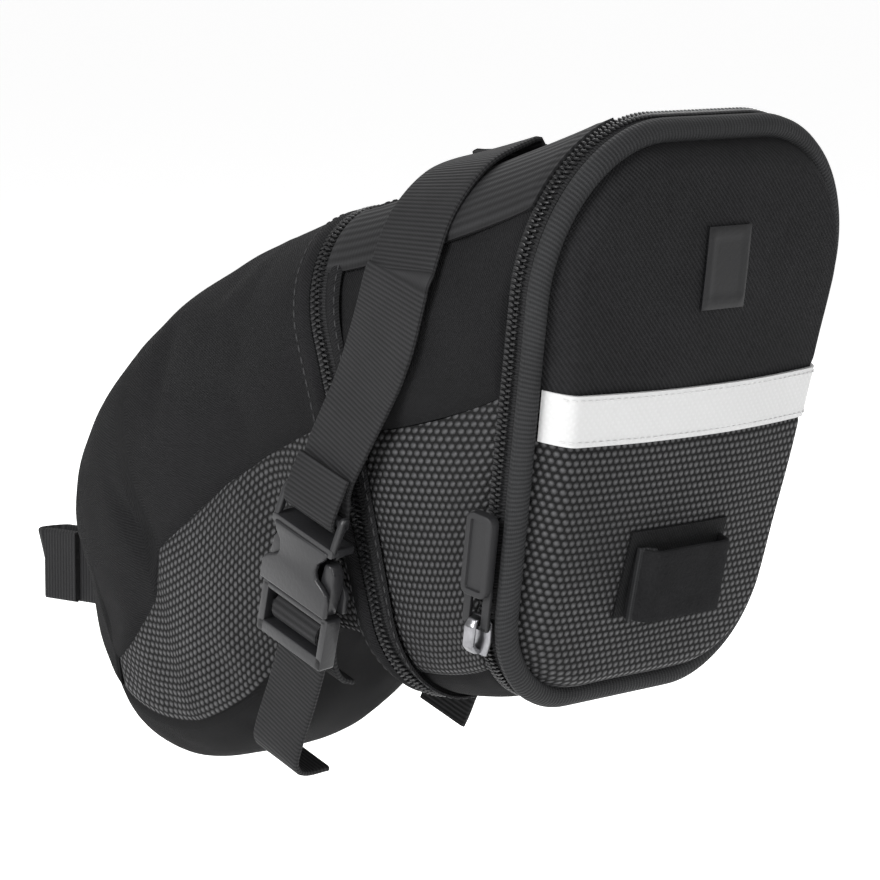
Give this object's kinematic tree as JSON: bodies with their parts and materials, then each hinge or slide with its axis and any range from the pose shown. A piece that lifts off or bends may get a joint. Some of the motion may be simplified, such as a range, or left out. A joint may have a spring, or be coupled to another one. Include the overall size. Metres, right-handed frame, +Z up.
{
  "type": "saddle bag",
  "caption": "Expanding wedge saddle bag with a zipped, padded rear lid, a reflective strip, buckled rail straps, a light loop and a seatpost loop.",
  "frame": {"origin": "midway between the two strap arches, just above the middle of the bag's top, where the saddle's rails lie", "axes": "+X to the rear of the bicycle, +Y to its right, +Z up with the bag as it hangs under the saddle"},
  "size_m": [0.2554, 0.122, 0.1839],
  "materials": {
    "plain_cloth": "plain woven, matte",
    "textured_cloth": "woven with raised dashes",
    "base_cloth": "coated, matte",
    "binding_tape": "ribbed tape",
    "reflective_tape": "satin retroreflective tape",
    "webbing": "ribbed webbing",
    "hook_tape": "hook tape",
    "zip_coil": "coil on woven tape",
    "buckle_moulding": "fine moulded grain",
    "soft_moulding": "soft moulding",
    "slider_metal": "dark plated metal",
    "stiffener": "sheet",
    "gusset_cloth": "plain woven, matte"
  },
  "bodies": {
    "front_section": {"front_upper": "plain_cloth", "front_side_left": "textured_cloth", "front_side_right": "textured_cloth", "front_base": "base_cloth", "base_board": "stiffener", "nose_patch": "base_cloth", "seatpost_loop": "webbing", "expansion_zip_front": "zip_coil", "expansion_gusset": "gusset_cloth", "strap_anchor_left": "webbing", "strap_anchor_right": "webbing", "rail_strap_left": "webbing", "rail_strap_right": "webbing", "buckle_socket_left": "buckle_moulding", "buckle_socket_right": "buckle_moulding"},
    "rear_section": {"rear_upper": "plain_cloth", "rear_side_left": "textured_cloth", "rear_side_right": "textured_cloth", "rear_base": "base_cloth", "strap_runner_left": "webbing", "strap_runner_right": "webbing", "expansion_zip_rear": "zip_coil", "main_zip_body": "zip_coil", "lid_hinge_tape": "binding_tape"},
    "lid": {"lid_binding": "binding_tape", "lid_upper_panel": "plain_cloth", "lid_lower_panel": "textured_cloth", "reflective_strip": "reflective_tape", "lid_board": "stiffener", "badge_patch": "soft_moulding", "light_loop": "webbing", "main_zip_lid": "zip_coil"},
    "main_slider": {"main_slider": "slider_metal"},
    "main_puller": {"main_puller": "soft_moulding"},
    "expansion_slider": {"expansion_slider": "slider_metal"},
    "expansion_puller": {"expansion_puller": "soft_moulding"},
    "seatpost_flap": {"seatpost_flap": "hook_tape"},
    "plug_left": {"buckle_plug_left": "buckle_moulding", "strap_tail_left": "webbing"},
    "prong_left_front": {"buckle_prong_left_front": "buckle_moulding"},
    "prong_left_rear": {"buckle_prong_left_rear": "buckle_moulding"},
    "plug_right": {"buckle_plug_right": "buckle_moulding", "strap_tail_right": "webbing"},
    "prong_right_front": {"buckle_prong_right_front": "buckle_moulding"},
    "prong_right_rear": {"buckle_prong_right_rear": "buckle_moulding"}
  },
  "joints": [
    {"name": "expander", "type": "slide", "parent": "front_section", "child": "rear_section", "axis": [0.9816, 0, 0.1908], "range_m": [0, 0.022]},
    {"name": "lid_hinge", "type": "hinge", "parent": "rear_section", "child": "lid", "pos_m": [0.01681, 0, -0.13855], "axis": [0, 1, 0], "range_deg": [0, 100]},
    {"name": "main_slider_run", "type": "slide", "parent": "rear_section", "child": "main_slider", "axis": [0.2069, -0.0995, 0.9733], "range_m": [0, 0.06]},
    {"name": "main_puller_turn", "type": "hinge", "parent": "main_slider", "child": "main_puller", "pos_m": [0.01885, -0.05254, -0.11525], "axis": [0.9781, 0, -0.2079], "range_deg": [0, 165]},
    {"name": "expansion_slider_run", "type": "slide", "parent": "front_section", "child": "expansion_slider", "axis": [-0.19, 0.091, 0.9776], "range_m": [0, 0.008]},
    {"name": "expansion_puller_turn", "type": "hinge", "parent": "expansion_slider", "child": "expansion_puller", "pos_m": [-0.03419, 0.05464, -0.05057], "axis": [-0.9816, 0, -0.1908], "range_deg": [0, 90]},
    {"name": "seatpost_flap_turn", "type": "hinge", "parent": "front_section", "child": "seatpost_flap", "pos_m": [-0.19, -0.0067, -0.12462], "axis": [0.2756, 0, -0.9613], "range_deg": [0, 150]},
    {"name": "plug_left_draw", "type": "slide", "parent": "front_section", "child": "plug_left", "axis": [-0.3278, 0.1401, -0.9343], "range_m": [0, 0.02]},
    {"name": "prong_left_front_squeeze", "type": "hinge", "parent": "plug_left", "child": "prong_left_front", "pos_m": [-0.0497, -0.05195, -0.11109], "axis": [0.1156, 0.9875, 0.1075], "range_deg": [0, 8], "stiffness_Nm_per_rad": 0.05},
    {"name": "prong_left_rear_squeeze", "type": "hinge", "parent": "plug_left", "child": "prong_left_rear", "pos_m": [-0.03169, -0.05335, -0.11762], "axis": [-0.1156, -0.9875, -0.1075], "range_deg": [0, 8], "stiffness_Nm_per_rad": 0.05},
    {"name": "plug_right_draw", "type": "slide", "parent": "front_section", "child": "plug_right", "axis": [-0.3278, -0.1401, -0.9343], "range_m": [0, 0.02]},
    {"name": "prong_right_front_squeeze", "type": "hinge", "parent": "plug_right", "child": "prong_right_front", "pos_m": [-0.0497, 0.05195, -0.11109], "axis": [-0.1156, 0.9875, -0.1075], "range_deg": [0, 8], "stiffness_Nm_per_rad": 0.05},
    {"name": "prong_right_rear_squeeze", "type": "hinge", "parent": "plug_right", "child": "prong_right_rear", "pos_m": [-0.03169, 0.05335, -0.11762], "axis": [0.1156, -0.9875, 0.1075], "range_deg": [0, 8], "stiffness_Nm_per_rad": 0.05}
  ],
  "couplings": [
    {"joint": "prong_left_rear_squeeze", "follows": "prong_left_front_squeeze", "ratio": 1},
    {"joint": "prong_right_rear_squeeze", "follows": "prong_right_front_squeeze", "ratio": 1}
  ]
}
